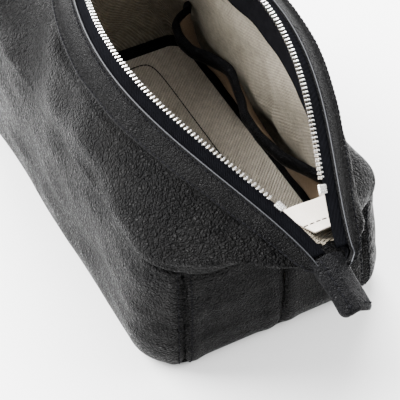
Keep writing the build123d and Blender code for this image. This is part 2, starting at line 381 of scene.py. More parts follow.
def pebble_group():
    """Small pebbles, wider cracks between groups of them, and a fine tooth over both."""
    tree, inp, out = group(
        "pebbled_grain",
        [("Place", "NodeSocketVector", None), ("Cells per metre", "NodeSocketFloat", 620.0)],
        [("Height", "NodeSocketFloat"), ("Crease", "NodeSocketFloat")],
    )
    place, cells = inp.outputs["Place"], inp.outputs["Cells per metre"]
    pebbles = cell_edges(tree, place, 260.0, 1.0, 0.0016, cells, 0.32, "SMOOTHERSTEP")
    wide_cells = math_node(tree, "MULTIPLY", cells, 0.45)
    cracks = cell_edges(tree, place, 120.0, 2.0, 0.006, wide_cells, 0.16, "SMOOTHSTEP")
    fine = noise_node(tree, place, 1800.0, 2.0, 0.6)
    small = math_node(tree, "ADD", pebbles, math_node(tree, "MULTIPLY", fine, 0.15))
    height = math_node(tree, "ADD", small, math_node(tree, "MULTIPLY", cracks, 0.75))
    tree.links.new(height, out.inputs["Height"])
    crease = math_node(tree, "SUBTRACT", 1.0, pebbles, clamp=True)
    tree.links.new(crease, out.inputs["Crease"])
    return tree


def twill_group():
    """Diagonal ribs of a twill, from two crossing waves."""
    tree, inp, out = group(
        "twill_weave",
        [("Place", "NodeSocketVector", None), ("Threads per metre", "NodeSocketFloat", 1500.0)],
        [("Height", "NodeSocketFloat"), ("Shade", "NodeSocketFloat")],
    )
    split = tree.nodes.new("ShaderNodeSeparateXYZ")
    threads = scaled_place(tree, inp.outputs["Place"], inp.outputs["Threads per metre"])
    tree.links.new(threads, split.inputs[0])
    x, y, z = (split.outputs[axis] for axis in "XYZ")
    diagonal = math_node(tree, "ADD", math_node(tree, "ADD", x, y), z)
    rib = math_node(tree, "SINE", math_node(tree, "MULTIPLY", diagonal, 3.1416))
    other = math_node(tree, "SUBTRACT", x, z)
    cross = math_node(tree, "SINE", math_node(tree, "MULTIPLY", other, 6.2832))
    ribs, crossed = (math_node(tree, "MULTIPLY", v, share) for v, share in ((rib, 0.6), (cross, 0.4)))
    mixed = math_node(tree, "ADD", ribs, crossed)
    tree.links.new(mixed, out.inputs["Height"])
    # The colour factor is a random mottle plus the rib height, so the grooves between ribs are darker as
    # painted shade.
    mottled = noise_node(tree, inp.outputs["Place"], 240.0, 3.0, 0.6)
    shade = math_node(tree, "ADD", math_node(tree, "MULTIPLY", mixed, 0.3), mottled)
    tree.links.new(shade, out.inputs["Shade"])
    return tree


PEBBLE, TWILL = pebble_group(), twill_group()


def material(name, roughness, metallic=0.0):
    mat = bpy.data.materials.new(name)
    mat.use_nodes = True
    tree = mat.node_tree
    tree.nodes.clear()
    out = tree.nodes.new("ShaderNodeOutputMaterial")
    shader = tree.nodes.new("ShaderNodeBsdfPrincipled")
    shader.inputs["Roughness"].default_value = roughness
    shader.inputs["Metallic"].default_value = metallic
    tree.links.new(shader.outputs[0], out.inputs["Surface"])
    place = tree.nodes.new("ShaderNodeTexCoord").outputs["Object"]
    return mat, tree, shader, place


def colour_mix(tree, factor, dark, light):
    ramp = tree.nodes.new("ShaderNodeValToRGB")
    ramp.color_ramp.elements[0].color = (*dark, 1)
    ramp.color_ramp.elements[1].color = (*light, 1)
    tree.links.new(factor, ramp.inputs["Fac"])
    return ramp.outputs["Color"]


def bump(tree, height, strength, distance, shader):
    node = tree.nodes.new("ShaderNodeBump")
    node.inputs["Strength"].default_value = strength
    node.inputs["Distance"].default_value = distance
    tree.links.new(height, node.inputs["Height"])
    tree.links.new(node.outputs["Normal"], shader.inputs["Normal"])


def leather_material(name, dark, light, cells, strength, depth, roughness):
    mat, tree, shader, place = material(name, roughness)
    grain = tree.nodes.new("ShaderNodeGroup")
    grain.node_tree = PEBBLE
    tree.links.new(place, grain.inputs["Place"])
    grain.inputs["Cells per metre"].default_value = cells
    creased = noise_node(tree, place, 90.0, 3.0, 0.55)
    relief = math_node(tree, "ADD", grain.outputs["Height"], math_node(tree, "MULTIPLY", creased, 2.4))
    cloudy = noise_node(tree, place, 45.0, 3.0, 0.6)
    crease = grain.outputs["Crease"]
    # The colour is a random mottle, darker in the creases between pebbles as painted shade.
    shown, painted_crease_shade = math_node(tree, "MULTIPLY", cloudy, 1.3), math_node(tree, "MULTIPLY", crease, 0.5)
    mottle_and_crease_shade = math_node(tree, "SUBTRACT", shown, painted_crease_shade, clamp=True)
    tree.links.new(colour_mix(tree, mottle_and_crease_shade, dark, light), shader.inputs["Base Color"])
    matt = math_node(tree, "MULTIPLY", crease, 0.25)
    rough = math_node(tree, "ADD", matt, roughness - 0.05, clamp=True)
    tree.links.new(rough, shader.inputs["Roughness"])
    shader.inputs["IOR"].default_value = 1.11 if dark[0] < 0.05 else 1.45
    bump(tree, relief, strength, depth, shader)
    return mat


def cloth_material(name, dark, light, threads, depth):
    mat, tree, shader, place = material(name, 0.9)
    weave = tree.nodes.new("ShaderNodeGroup")
    weave.node_tree = TWILL
    tree.links.new(place, weave.inputs["Place"])
    weave.inputs["Threads per metre"].default_value = threads
    tree.links.new(colour_mix(tree, weave.outputs["Shade"], dark, light), shader.inputs["Base Color"])
    shader.inputs["Sheen Weight"].default_value = 0.15 if light[0] > 0.1 else 0.0
    shader.inputs["Specular IOR Level"].default_value = 0.15 if light[0] > 0.1 else 0.02
    bump(tree, weave.outputs["Height"], 0.9, depth, shader)
    return mat


def metal_material(name, colour, roughness):
    mat, tree, shader, place = material(name, roughness, 1.0)
    haze = noise_node(tree, place, 900.0, 4.0, 0.6)
    shade = tuple(c * 0.86 for c in colour)
    tree.links.new(colour_mix(tree, haze, shade, colour), shader.inputs["Base Color"])
    rough = math_node(tree, "ADD", math_node(tree, "MULTIPLY", haze, 0.12), roughness, clamp=True)
    tree.links.new(rough, shader.inputs["Roughness"])
    return mat


pebbled = leather_material(
    "pebbled_leather", (0.0022, 0.0022, 0.0024), (0.0095, 0.0092, 0.009), 600.0, 1.0, 0.0011, 0.27
)
band_leather = leather_material(
    "band_leather", (0.0022, 0.0022, 0.0024), (0.0085, 0.0083, 0.0083), 900.0, 0.8, 0.0005, 0.27
)
smooth_black = leather_material(
    "smooth_leather", (0.0014, 0.0014, 0.0017), (0.0042, 0.0042, 0.0047), 900.0, 0.6, 0.0005, 0.26
)
tan_leather = leather_material(
    "tan_leather", (0.17, 0.115, 0.07), (0.32, 0.23, 0.155), 1400.0, 0.25, 0.0002, 0.55
)
cream_leather = leather_material(
    "cream_leather", (0.66, 0.58, 0.50), (0.86, 0.80, 0.72), 1400.0, 0.2, 0.0002, 0.6
)
canvas = cloth_material("canvas_lining", (0.38, 0.335, 0.265), (0.82, 0.745, 0.63), 900.0, 0.0006)
# The walls use a darker copy of the lining canvas, as painted shade.
shaded_wall_canvas = cloth_material(
    "canvas_wall_painted_shade", (0.105, 0.088, 0.062), (0.36, 0.312, 0.235), 900.0, 0.0006
)
tape_cloth = cloth_material(
    "zip_tape_cloth", (0.001, 0.001, 0.0014), (0.0032, 0.0034, 0.0047), 1300.0, 0.0003
)
facing_cloth = cloth_material(
    "mouth_facing_cloth", (0.001, 0.001, 0.0013), (0.005, 0.005, 0.006), 1300.0, 0.0003
)
cut_edge = metal_material("cut_edge", (0.007, 0.0085, 0.0125), 0.6)
cut_edge.node_tree.nodes["Principled BSDF"].inputs["Metallic"].default_value = 0.0
board_card = cloth_material("board", (0.25, 0.19, 0.13), (0.42, 0.33, 0.24), 500.0, 0.0002)
nickel = metal_material("nickel", (0.66, 0.65, 0.63), 0.2)
black_thread = cloth_material(
    "black_thread", (0.002, 0.002, 0.003), (0.014, 0.014, 0.016), 2500.0, 0.0002
)
brown_thread = cloth_material(
    "brown_thread", (0.05, 0.04, 0.03), (0.14, 0.11, 0.085), 2500.0, 0.0002
)
print("materials", len(bpy.data.materials))

# %% [markdown]
# The leather body. A stack of rings is joined by a smooth curve up each of its columns, so the sides
# belly out, roll over the shoulder and run in to the band. The grid is then pressed in along the seams,
# swollen between them, and given the soft folds of leather that is bent where the mouth is spread.
# A level counts the rings upwards: the foot is 0, the belly 2, the seam 4, the shoulder 6 and the
# foot of the zip band 7.

# %% The surface of the body
V_LEVELS = 96


def rows_between(rings, levels):
    """Smooth columns through a stack of rings, as a grid of points."""
    stack = np.stack(rings, 1)
    lengths = np.linalg.norm(np.diff(stack, axis=1), axis=2)
    knots = np.concatenate([np.zeros((stack.shape[0], 1)), np.cumsum(lengths, 1)], 1)
    mean = knots.mean(0)
    share = np.interp(levels, np.arange(len(rings)), mean)
    tangents = np.zeros_like(stack)
    h = np.diff(mean)
    slopes = np.diff(stack, axis=1) / h[None, :, None]
    before, after = h[None, :-1, None], h[None, 1:, None]
    mixed = slopes[:, :-1] * after + slopes[:, 1:] * before
    tangents[:, 1:-1] = mixed / (h[:-1] + h[1:])[None, :, None]
    tangents[:, 0] = slopes[:, 0]
    tangents[:, -1] = slopes[:, -1]
    k = np.clip(np.searchsorted(mean, share, side="right") - 1, 0, len(rings) - 2)
    s = ((share - mean[k]) / h[k])[None, :, None]
    p0, p1 = stack[:, k], stack[:, k + 1]
    m0, m1 = tangents[:, k] * h[k][None, :, None], tangents[:, k + 1] * h[k][None, :, None]
    start = (2 * s**3 - 3 * s**2 + 1) * p0 + (s**3 - 2 * s**2 + s) * m0
    return start + (-2 * s**3 + 3 * s**2) * p1 + (s**3 - s**2) * m1


foot_ring = mouth_ring(band_foot, MOUTH_LENGTH - NOSE)
seam_ring = box_ring(BOX_TOP, 0.0)
near_end = smooth(seam_ring[:, 0], 100.0, 112.0)
raised, sunk = 3.5 * bell(seam_ring[:, 1], -3.0, 12.0), 4.5 * bell(seam_ring[:, 1], -33.0, 15.0)
seam_ring[:, 2] += near_end * (raised - sunk)
end_share = np.clip((np.abs(seam_ring[:, 0]) - 96.0) / 16.0, 0, 1)
outward_x = np.sign(seam_ring[:, 0]) * end_share

shoulder = seam_ring * 0.45 + foot_ring * 0.55
shoulder[:, 1] -= 5.0 * (1 - end_share)
shoulder[:, 2] += 3.0 + 1.0 * end_share
overhang = seam_ring.copy()
overhang[:, 2] += 4.5
overhang[:, 0] += outward_x * 5.0
overhang[:, 1] -= 0.8 * (1 - end_share)

BODY_RINGS = [
    box_ring(0.0, -FOOT_INSET - 1.2),
    box_ring(1.6, -FOOT_INSET + 0.3),
    box_ring(BELLY_Z, BELLY),
    box_ring(66.0, 1.0),
    seam_ring,
    overhang,
    shoulder,
    foot_ring,
]
SEAM_ROW = int(V_LEVELS * 0.62)
levels = np.concatenate(
    [np.linspace(0, 4, SEAM_ROW + 1), np.linspace(4, 7, V_LEVELS - SEAM_ROW + 1)[1:]]
)


def body_surface(seed):
    """The outer face of one half of the body, in front, with its seams and folds."""
    grid = rows_between(BODY_RINGS, levels)
    n = normals(grid)
    if n[U_COUNT // 2, SEAM_ROW // 2, 1] > 0:
        n = -n
    lengths = np.linalg.norm(np.diff(grid[:, SEAM_ROW // 2], axis=0), axis=1)
    length_u = np.concatenate([[0], np.cumsum(lengths)])
    along = length_u[:, None] * np.ones((1, grid.shape[1]))
    x, z = grid[..., 0], grid[..., 2]
    row = levels[None, :] * np.ones_like(z)
    below = 1 - smooth(row, 3.9, 4.3)
    push = np.zeros_like(z)
    corner_seams = [(length_u[SEAM_LEFT], 1.7, 1.5, 0.9), (length_u[SEAM_RIGHT], 1.7, 1.5, 0.9)]
    end_seams = [(0.0, 1.5, 1.6, 0.8), (length_u[-1], 1.5, 1.6, 0.8)]
    for place, groove, half_width, swell in corner_seams + end_seams:
        d = np.abs(along - place)
        push -= groove * bell(d, 0.0, half_width) * below
        push += swell * bell(d, 6.0, 4.0) * below
    at_end = end_share[:, None]
    push -= 3.0 * bell(row, 4.05, 0.13) * at_end
    push += 1.6 * bell(row, 3.75, 0.16) * at_end
    push += 2.0 * bell(row, 4.75, 0.45) * at_end * (1 - 0.4 * bell(grid[..., 1], 0.0, 14.0))
    creases = 0.5 * ripple(grid * np.array([0.4, 0.4, 1.0]), 17.0, seed + 8)
    push += creases * smooth(z, 4.0, 20.0) * (1 - smooth(row, 6.4, 7.0))
    waves = 0.9 * ripple(grid, 46.0, seed)
    push += waves * smooth(z, 2.0, 16.0) * (1 - 0.6 * smooth(row, 6.2, 7.0))
    from_right, from_left = (np.abs(along - length_u[k]) for k in (SEAM_RIGHT, SEAM_LEFT))
    squeeze = bell(np.minimum(from_right, from_left), 0.0, 20.0)
    squeeze = squeeze * smooth(z, 12, 26) * (1 - smooth(z, 62, 74))
    wrinkles = np.sin(z / 7.5 * 6.283 / 1.3 + 1.6 * ripple(grid, 34.0, 6))
    push += 0.3 * squeeze * wrinkles * (1 + 0.5 * ripple(grid, 30.0, seed + 2))
    valley = 1.3 * smooth(row, 6.55, 6.85) * (1 - smooth(row, 6.95, 7.0))
    push -= valley * (1 - smooth(np.abs(x), 112.0, 130.0))
    top = smooth(row, 4.3, 5.2) * (1 - smooth(row, 6.5, 7.0))
    push += 1.1 * ripple(grid * np.array([0.6, 1.0, 1.0]), 24.0, seed + 5) * top
    out = grid + n * push[..., None]
    out[..., 2] = np.maximum(out[..., 2], 0.05)
    out[[0, -1], :, 1] = MEETING_Y
    return out, n


def settled_rows(grid, row_levels):
    """Settles a grid of the walls, but leaves its top row where it is sewn to the zip band."""
    held = smooth(np.asarray(row_levels), 5.6, 7.0)[None, :, None]
    return settled(grid) * (1 - held) + grid * held


def leather_piece(name, grid, n, rows, cols, flip, *nodes):
    u0, u1 = cols
    v0, v1 = rows
    part = grid[u0 : u1 + 1, v0 : v1 + 1]
    inside = part - n[u0 : u1 + 1, v0 : v1 + 1] * (LEATHER * 0.8)
    inside[..., 2] = np.maximum(inside[..., 2], 0.1)
    if flip:
        part, inside = back_half(part), back_half(inside)
    kept = levels[v0 : v1 + 1]
    part, inside = settled_rows(part, kept), settled_rows(inside, kept)
    return finish_piece(shell(name, part, inside, pebbled), "bag", "pebbled_leather", *nodes)


for flip, side, seed in ((False, "front", 0), (True, "back", 3)):
    grid, n = body_surface(seed)
    low, high = (0, SEAM_ROW), (SEAM_ROW, grid.shape[1] - 1)
    last = U_COUNT - 1
    for name, rows, cols, node in (
        ("side_leather", low, (SEAM_LEFT, SEAM_RIGHT), "side_panel"),
        ("shoulder_leather", high, (0, last), "side_panel"),
        ("end_leather_left", low, (0, SEAM_LEFT), "end_panel_left"),
        ("end_leather_right", low, (SEAM_RIGHT, last), "end_panel_right"),
    ):
        leather_piece(f"{name}_{side}", grid, n, rows, cols, flip, f"{node}_{side}")

# %% [markdown]
# The lining is a second skin inside the leather. It follows the leather, a little further in, and hangs
# slack, so its folds are longer and softer than those of the leather. Those of the back are the deepest.

# %% Lining
hem_ring = mouth_ring(hem, MOUTH_LENGTH - NOSE - 1.0)
TUCK, CANVAS_LOWEST = 3.0, 3.6


def lining_surface(seed, leather_seed, fold_depth, fold_size):
    """The inner skin of one half, from just above the foot to the hem below the band."""
    leather, n = body_surface(leather_seed)
    row = levels[None, :, None] * np.ones_like(leather)
    x, y, z = (leather[..., k] for k in range(3))
    slack = smooth(z, 8, 30) * (1 - smooth(z, 92, 106))
    folds = np.abs(ripple(leather * np.array([1.0, 1.0, 0.45]), fold_size, seed))
    inwards = LEATHER * 0.8 + 0.9 + fold_depth * folds * slack
    side_pull = smooth(np.abs(y), 14.0, 40.0) * 1.2
    lift = 1.1 * (1 - smooth(np.abs(y), 22.0, 42.0))
    to_middle = np.stack([-np.sign(x), -np.sign(y) * side_pull, lift], -1)
    to_middle /= np.linalg.norm(to_middle, axis=-1, keepdims=True)
    tucked = (smooth(np.abs(x), 84.0, 100.0) * smooth(row[..., 0], 4.0, 4.5))[..., None]
    grid = leather + (1 - tucked) * -n * inwards[..., None] + tucked * to_middle * TUCK
    turn = smooth(row, 5.9, 6.9)
    grid = grid * (1 - turn) + hem_ring[:, None, :] * turn
    grid[..., 2] = np.maximum(grid[..., 2], CANVAS_LOWEST)
    grid[[0, -1], :, 1] = MEETING_Y
    first = int(np.argmax(levels > 0.9))
    return grid[:, first:], n[:, first:]


for flip, side, *folds in ((False, "front", 11, 0, 0.9, 26.0), (True, "back", 14, 3, 3.5, 48.0)):
    grid, n = lining_surface(*folds)
    inside = grid + n * 0.3
    if flip:
        grid, inside = back_half(grid), back_half(inside)
    kept = levels[-grid.shape[1] :]
    grid, inside = settled_rows(grid, kept), settled_rows(inside, kept)
    cloth = shell(f"lining_cloth_{side}", grid, inside, shaded_wall_canvas)
    finish_piece(cloth, "bag", "canvas", f"lining_{side}")

# %% [markdown]
# A black strip hangs inside the mouth, from under the zip band to the top edge of the canvas.

# %% Black strip inside the mouth
inner_rim = mouth_ring(rim, MOUTH_LENGTH - 1.0)
inner_rim[:, 1] = np.minimum(inner_rim[:, 1] + 0.6, MEETING_Y)
inner_rim[:, 2] -= 0.9
low_hem = hem_ring.copy()
low_hem[:, 1] = np.minimum(low_hem[:, 1] + 1.0, MEETING_Y)
low_hem[:, 2] -= 1.5
for flip, side in ((False, "front"), (True, "back")):
    down = np.linspace(0, 1, 22)[None, :, None]
    grid = inner_rim[:, None, :] * (1 - down) + low_hem[:, None, :] * down
    sway = 0.5 * ripple(grid * np.array([1.0, 1.0, 0.3]), 28.0, 17 + flip) * down[..., 0]
    grid[..., 1] = np.minimum(grid[..., 1] + sway, MEETING_Y)
    if flip:
        grid = back_half(grid)
    inside = grid + np.array([0.0, 0.5 if flip else -0.5, 0.0])
    finish_piece(shell(f"mouth_facing_{side}", grid, inside, facing_cloth), "bag", "zip_tape")

# %% [markdown]
# The zip bands are strips of pebbled leather that roll over from the stitched foot to the rim. Each has
# a raised folded edge along the tape, a slightly paler cut edge on top, and stitches near both edges.

# %% Zip bands
def strip(rings, profile, name, finish, flip):
    """Sweeps a closed profile along the mouth. profile holds (share across, height off the surface)."""
    low, high = rings
    across = high - low
    along = np.gradient((low + high) / 2, axis=0)
    up = np.cross(along, across)
    up /= np.linalg.norm(up, axis=1, keepdims=True)
    if up[U_COUNT // 2, 2] < 0:
        up = -up
    loops = [low + across * s + up * h for s, h in profile]
    grid = np.stack(loops, 1)
    if flip:
        grid = back_half(grid)
    return closed_tube(name, grid, finish), up


band_profile = [(-0.06, -1.2), (-0.06, 1.4), (-0.03, 2.4), (0.03, 2.7), (0.09, 2.3), (0.14, 1.5)]
band_profile += [(0.3, 1.6), (0.55, 1.55), (0.8, 1.3), (0.86, 1.1), (0.91, 1.7), (0.96, 2.1)]
band_profile += [(1.01, 1.9), (1.03, 1.2), (1.01, 0.3), (0.9, -0.3), (0.5, -0.3), (0.1, -0.2)]
edge_profile = [(0.985, 2.0), (1.0, 2.2), (1.02, 2.1), (1.033, 1.8), (1.005, 1.7)]
rim_ring = mouth_ring(rim, MOUTH_LENGTH)
band_wave = 0.5 * ripple(foot_ring, 34.0, 21)
wavy_foot = foot_ring + np.stack([0 * band_wave, 0.6 * band_wave, 0.4 * band_wave], -1)
wavy_foot[[0, -1], 1] = MEETING_Y
flat_rim = rim_ring.copy()
flat_rim[[0, -1], 1] = MEETING_Y
band_edges = (wavy_foot, flat_rim)
for flip, side in ((False, "front"), (True, "back")):
    obj, band_up = strip(band_edges, band_profile, f"zip_band_leather_{side}", band_leather, flip)
    finish_piece(obj, "bag", "pebbled_leather", f"zip_band_{side}")
    obj, band_up = strip(band_edges, edge_profile, f"zip_band_cut_edge_{side}", cut_edge, flip)
    finish_piece(obj, "bag", "smooth_leather")
print("band width at the middle", np.linalg.norm((rim_ring - foot_ring)[U_COUNT // 2]))

# %% [markdown]
# The zip tapes are narrow woven ribbons from under the band to the teeth, with a thick corded edge
# that the teeth are clamped to. Each is one closed profile swept along the mouth.

# %% Zip tapes
CHAIN_TIP = MOUTH_LENGTH - NOSE - 4.0
RUN_START = -154.0
run_x, mouth_x = np.linspace(RUN_START, RUN_END, 24)[:-1], np.linspace(RUN_END, CHAIN_TIP, 200)
chain_x = np.concatenate([run_x, mouth_x])


def chain_line(rule, lift=0.0, out=0.0):
    y, z = rule(chain_x, CHAIN_TIP)
    return np.stack([chain_x, -(y + out), z + lift], -1)


def tape_strip(name, flip):
    seat = chain_line(rim, -0.9, 2.2)
    edge = chain_line(tape_edge)
    across = edge - seat
    profile = [(0.0, 0.3), (0.2, 0.35), (0.45, 0.35), (0.5, 0.45), (0.55, 0.35), (0.8, 0.35)]
    profile += [(0.88, 0.6), (0.95, 0.75), (1.0, 0.6), (1.02, 0.0), (1.0, -0.6), (0.95, -0.75)]
    profile += [(0.88, -0.6), (0.8, -0.35), (0.4, -0.35), (0.0, -0.3)]
    grid = np.stack([seat + across * s + np.array([0, 0, 1.0]) * h for s, h in profile], 1)
    return closed_tube(name, back_half(grid) if flip else grid, tape_cloth)


for flip, side in ((False, "front"), (True, "back")):
    finish_piece(tape_strip(f"zip_tape_ribbon_{side}", flip), "bag", "zip_tape", f"zip_tape_{side}")

# %% [markdown]
# Teeth and stitches both repeat at a fixed pitch along a line, so one tree of Geometry Nodes sets them.
# It turns a path into points, puts a copy of one piece on each, and gives every copy its finish.

# %% Geometry Nodes that set pieces along a path
TOOTH_PITCH, STITCH_PITCH, FLOOR_STITCH_PITCH = 0.0024, 0.0031, 0.0024


def path_mesh(name, points):
    mesh = bpy.data.meshes.new(name)
    edges = [(k, k + 1) for k in range(len(points) - 1)]
    mesh.from_pydata((np.asarray(points) * 0.001).tolist(), edges, [])
    obj = bpy.data.objects.new(name, mesh)
    bpy.context.collection.objects.link(obj)
    return obj


def along_path_tree():
    """Copies of one piece at a fixed pitch along a path, its Z along the path and its X level."""
    tree = bpy.data.node_groups.new("set_along_path", "GeometryNodeTree")
    add = tree.interface.new_socket
    add(name="Path", in_out="INPUT", socket_type="NodeSocketGeometry")
    add(name="Piece", in_out="INPUT", socket_type="NodeSocketObject")
    pitch = add(name="Pitch", in_out="INPUT", socket_type="NodeSocketFloat")
    pitch.default_value = TOOTH_PITCH
    add(name="Turn", in_out="INPUT", socket_type="NodeSocketFloat")
    jitter = add(name="Unevenness", in_out="INPUT", socket_type="NodeSocketFloat")
    jitter.default_value = 0.0
    seed = add(name="Seed", in_out="INPUT", socket_type="NodeSocketInt")
    seed.default_value = 1
    add(name="Finish", in_out="INPUT", socket_type="NodeSocketMaterial")
    add(name="Pieces", in_out="OUTPUT", socket_type="NodeSocketGeometry")
    node, link = tree.nodes.new, tree.links.new
    inp, out = node("NodeGroupInput"), node("NodeGroupOutput")
    curve = node("GeometryNodeMeshToCurve")
    link(inp.outputs["Path"], curve.inputs["Mesh"])
    level = node("GeometryNodeSetCurveNormal")
    level.mode = "Z_UP"
    link(curve.outputs["Curve"], level.inputs["Curve"])
    points = node("GeometryNodeCurveToPoints")
    points.mode = "LENGTH"
    link(level.outputs["Curve"], points.inputs["Curve"])
    link(inp.outputs["Pitch"], points.inputs["Length"])
    turn = node("FunctionNodeAxisAngleToRotation")
    turn.inputs["Axis"].default_value = (0, 0, 1)
    link(inp.outputs["Turn"], turn.inputs["Angle"])
    both = node("FunctionNodeRotateRotation")
    both.rotation_space = "LOCAL"
    link(points.outputs["Rotation"], both.inputs["Rotation"])
    link(turn.outputs["Rotation"], both.inputs["Rotate By"])
    source = node("GeometryNodeObjectInfo")
    link(inp.outputs["Piece"], source.inputs["Object"])
    chance = node("FunctionNodeRandomValue")
    chance.data_type = "FLOAT"
    link(inp.outputs["Seed"], chance.inputs["Seed"])
    spread = node("ShaderNodeMath")
    spread.operation = "MULTIPLY_ADD"
    link(chance.outputs[1], spread.inputs[0])
    link(inp.outputs["Unevenness"], spread.inputs[1])
    spread.inputs[2].default_value = 1.0
    place = node("GeometryNodeInstanceOnPoints")
    link(points.outputs["Points"], place.inputs["Points"])
    link(source.outputs["Geometry"], place.inputs["Instance"])
    link(both.outputs["Rotation"], place.inputs["Rotation"])
    link(spread.outputs[0], place.inputs["Scale"])
    real = node("GeometryNodeRealizeInstances")
    link(place.outputs["Instances"], real.inputs["Geometry"])
    paint = node("GeometryNodeSetMaterial")
    link(real.outputs["Geometry"], paint.inputs["Geometry"])
    link(inp.outputs["Finish"], paint.inputs["Material"])
    link(paint.outputs["Geometry"], out.inputs["Pieces"])
    return tree


ALONG = along_path_tree()


def set_along(name, points, piece, pitch, finish, turn=0.0, unevenness=0.0, seed=1):
    guide = path_mesh(name + "_path", points)
    mod = guide.modifiers.new("set_along_path", "NODES")
    mod.node_group = ALONG
    values = {"Piece": piece, "Pitch": pitch, "Turn": turn, "Finish": finish}
    values.update({"Unevenness": unevenness, "Seed": seed})
    for item in ALONG.interface.items_tree:
        if item.item_type == "SOCKET" and item.in_out == "INPUT" and item.name in values:
            mod[item.identifier] = values[item.name]
    depsgraph = bpy.context.evaluated_depsgraph_get()
    mesh = bpy.data.meshes.new_from_object(guide.evaluated_get(depsgraph))
    guide.modifiers.remove(mod)
    bpy.data.objects.remove(guide)
    mesh.name = name
    obj = bpy.data.objects.new(name, mesh)
    bpy.context.collection.objects.link(obj)
    return obj


def merged(name, objects):
    """One object from several, with their meshes together."""
    bm = bmesh.new()
    for o in objects:
        bm.from_mesh(o.data)
    mesh = bpy.data.meshes.new(name)
    for m in objects[0].data.materials:
        mesh.materials.append(m)
    bm.to_mesh(mesh)
    bm.free()
    for o in objects:
        bpy.data.objects.remove(o)
    obj = bpy.data.objects.new(name, mesh)
    bpy.context.collection.objects.link(obj)
    mesh.shade_smooth()
    return obj


def lofted(name, sections, finish, smooth_faces=False):
    """A closed solid through a list of loops with the same number of points."""
    rings = np.array(sections)
    count, size = rings.shape[:2]
    faces = []
    for i in range(count - 1):
        for j in range(size):
            k = (j + 1) % size
            faces.append([i * size + j, i * size + k, (i + 1) * size + k, (i + 1) * size + j])
    faces.append(list(range(size))[::-1])
    faces.append([(count - 1) * size + j for j in range(size)])
    obj = new_object(name, rings.reshape(-1, 3), faces, finish)
    outwards(obj)
    if not smooth_faces:
        obj.data.shade_flat()
    return obj


def bevelled_loop(x, half_y, half_z, cut):
    """A rectangle with its four corners cut off, across the X axis at x."""
    y, z = half_y, half_z
    low = [(-y + cut, -z), (y - cut, -z), (y, -z + cut), (y, z - cut)]
    high = [(y - cut, z), (-y + cut, z), (-y, z - cut), (-y, -z + cut)]
    return [(x, a, b) for a, b in low + high]


# %% [markdown]
# A tooth is a small cast piece: two legs that clamp the cord of the tape, a narrow waist, and a head
# with a hollow. It is drawn once with few faces and set about 118 times along each tape, 2.4 mm apart.

# %% Teeth
FIRST_TOOTH, LAST_TOOTH, TOP_STOP = 6.6, 36.5, 30.0

tooth = lofted(
    "tooth",
    [
        bevelled_loop(-0.75, 1.0, 0.42, 0.25),
        bevelled_loop(-0.45, 1.22, 0.5, 0.2),
        bevelled_loop(0.35, 1.22, 0.5, 0.2),
        bevelled_loop(0.7, 0.8, 0.42, 0.2),
        bevelled_loop(1.15, 0.85, 0.44, 0.2),
        bevelled_loop(1.45, 1.1, 0.54, 0.22),
        bevelled_loop(1.95, 0.95, 0.44, 0.25),
    ],
    nickel,
)


def chain_path(start, end):
    """The tape edge between two places, measured from the start of the run and back from the tip."""
    pts = chain_line(tape_edge)
    d = np.concatenate([[0], np.cumsum(np.linalg.norm(np.diff(pts, axis=0), axis=1))])
    wanted = np.linspace(start, d[-1] - end, 400)
    return np.stack([np.interp(wanted, d, pts[:, k]) for k in range(3)], -1)


def faces_mouth(obj):
    """True if the teeth reach from the tape towards the middle of the mouth."""
    ys = np.array([v.co.y for v in obj.data.vertices]) * 1000
    xs = np.array([v.co.x for v in obj.data.vertices]) * 1000
    middle = np.abs(xs - 16) < 10
    return np.abs(ys[middle]).mean() < MOUTH_WIDTH


for side, mirror_y in (("front", 1), ("back", -1)):
    path = chain_path(FIRST_TOOTH, LAST_TOOTH) * np.array([1, mirror_y, 1])
    row = set_along(f"zip_teeth_row_{side}", path, tooth, TOOTH_PITCH, nickel, 0.0)
    if not faces_mouth(row):
        bpy.data.objects.remove(row)
        row = set_along(f"zip_teeth_row_{side}", path, tooth, TOOTH_PITCH, nickel, math.pi)
    finish_piece(row, "bag", "nickel", f"zip_teeth_{side}")
bpy.data.objects.remove(tooth)


def on_chain(solid_points, back_from_tip, mirror_y):
    """Moves points given along, towards the mouth, and up, to a place on the chain."""
    pts = chain_path(0, 0)
    d = np.concatenate([[0], np.cumsum(np.linalg.norm(np.diff(pts, axis=0), axis=1))])
    at = d[-1] - back_from_tip
    p = np.array([np.interp(at, d, pts[:, k]) for k in range(3)])
    q = np.array([np.interp(at + 1, d, pts[:, k]) for k in range(3)])
    t = (q - p) / np.linalg.norm(q - p)
    across = np.array([-t[1], t[0], 0])
    across /= np.linalg.norm(across)
    up = np.cross(t, across)
    out = [p + t * a + across * b + up * c for a, b, c in solid_points]
    return [(x, y * mirror_y, z) for x, y, z in out]


stop_shape = [(-2.4, 0.35), (-2.2, 0.05), (-1.5, 0.0), (-1.35, 0.3), (-1.1, 0.3), (-0.95, 0.0)]
stop_shape += [(-0.2, 0.0), (-0.05, 0.3), (0.2, 0.3), (0.35, 0.0), (1.1, 0.0), (1.25, 0.3)]
stop_shape += [(1.5, 0.3), (1.65, 0.0), (2.2, 0.05), (2.4, 0.35)]
for side, mirror_y in (("front", 1), ("back", -1)):
    loops = []
    for x, shrink in stop_shape:
        loop = bevelled_loop(x, 2.0 - shrink, 1.5 - shrink, 0.45)
        loops.append(on_chain([(a, b + 0.7, c) for a, b, c in loop], TOP_STOP, mirror_y))
    finish_piece(lofted(f"top_stop_block_{side}", loops, nickel), "bag", "nickel", f"top_stop_{side}")

# %% [markdown]
# The end tabs are strips of smooth leather folded over the ends of the zip. A ridge runs down the middle
# where the fold has set, and each side of it falls away a little. The corners of the tip are rounded.

# %% End tabs
TIP_CORNER, TIP_EDGE, TAB_SQUARE, TAB_DROOP = 4.5, 1.6, 0.42, math.radians(8.0)


def flattened(wave, power):
    """A sine or cosine with flat peaks, which turns a circle into a box with rounded corners."""
    return np.sign(wave) * np.abs(wave) ** power


